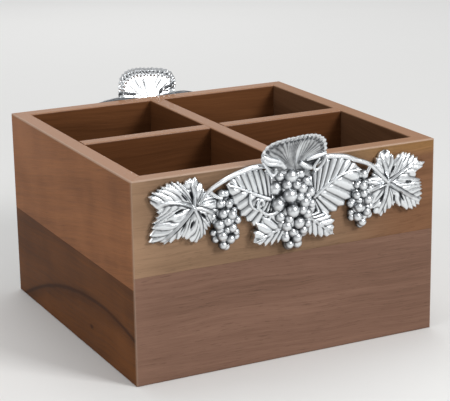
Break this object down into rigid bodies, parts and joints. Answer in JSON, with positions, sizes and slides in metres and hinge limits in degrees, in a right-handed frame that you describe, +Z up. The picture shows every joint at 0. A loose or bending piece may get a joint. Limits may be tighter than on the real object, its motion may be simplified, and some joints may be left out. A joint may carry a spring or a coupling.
{
  "type": "flatware caddy",
  "caption": "Open wooden flatware caddy with crossed dividers and a cast silver grape-and-vine ornament on its front and back.",
  "frame": {"origin": "middle of the box's footprint, on the surface that it stands on", "axes": "+Z up, -Y towards the front casting, +X to the right seen from the front"},
  "size_m": [0.26, 0.2942, 0.1816],
  "materials": {
    "front_upper_wood": "satin lacquer over straight-grained hardwood",
    "front_lower_wood": "satin lacquer over straight-grained hardwood",
    "back_upper_wood": "satin lacquer over straight-grained hardwood",
    "back_lower_wood": "satin lacquer over straight-grained hardwood",
    "left_upper_wood": "satin lacquer over straight-grained hardwood",
    "left_lower_wood": "satin lacquer over straight-grained hardwood",
    "right_upper_wood": "satin lacquer over straight-grained hardwood",
    "right_lower_wood": "satin lacquer over straight-grained hardwood",
    "base_wood": "satin lacquer over straight-grained hardwood",
    "divider_wood": "satin lacquer over straight-grained hardwood",
    "antique_silver": "bright polished casting with dark grey in its recesses",
    "screw_steel": "bright zinc-plated"
  },
  "bodies": {
    "root": {"front_upper_board": "front_upper_wood", "front_lower_board": "front_lower_wood", "back_upper_board": "back_upper_wood", "back_lower_board": "back_lower_wood", "left_upper_board": "left_upper_wood", "left_lower_board": "left_lower_wood", "right_upper_board": "right_upper_wood", "right_lower_board": "right_lower_wood", "base_panel": "base_wood", "long_divider": "divider_wood", "cross_divider": "divider_wood", "front_casting": "antique_silver", "front_screw_1": "screw_steel", "front_screw_2": "screw_steel", "front_screw_3": "screw_steel", "front_screw_4": "screw_steel", "back_casting": "antique_silver", "back_screw_1": "screw_steel", "back_screw_2": "screw_steel", "back_screw_3": "screw_steel", "back_screw_4": "screw_steel"}
  },
  "joints": []
}
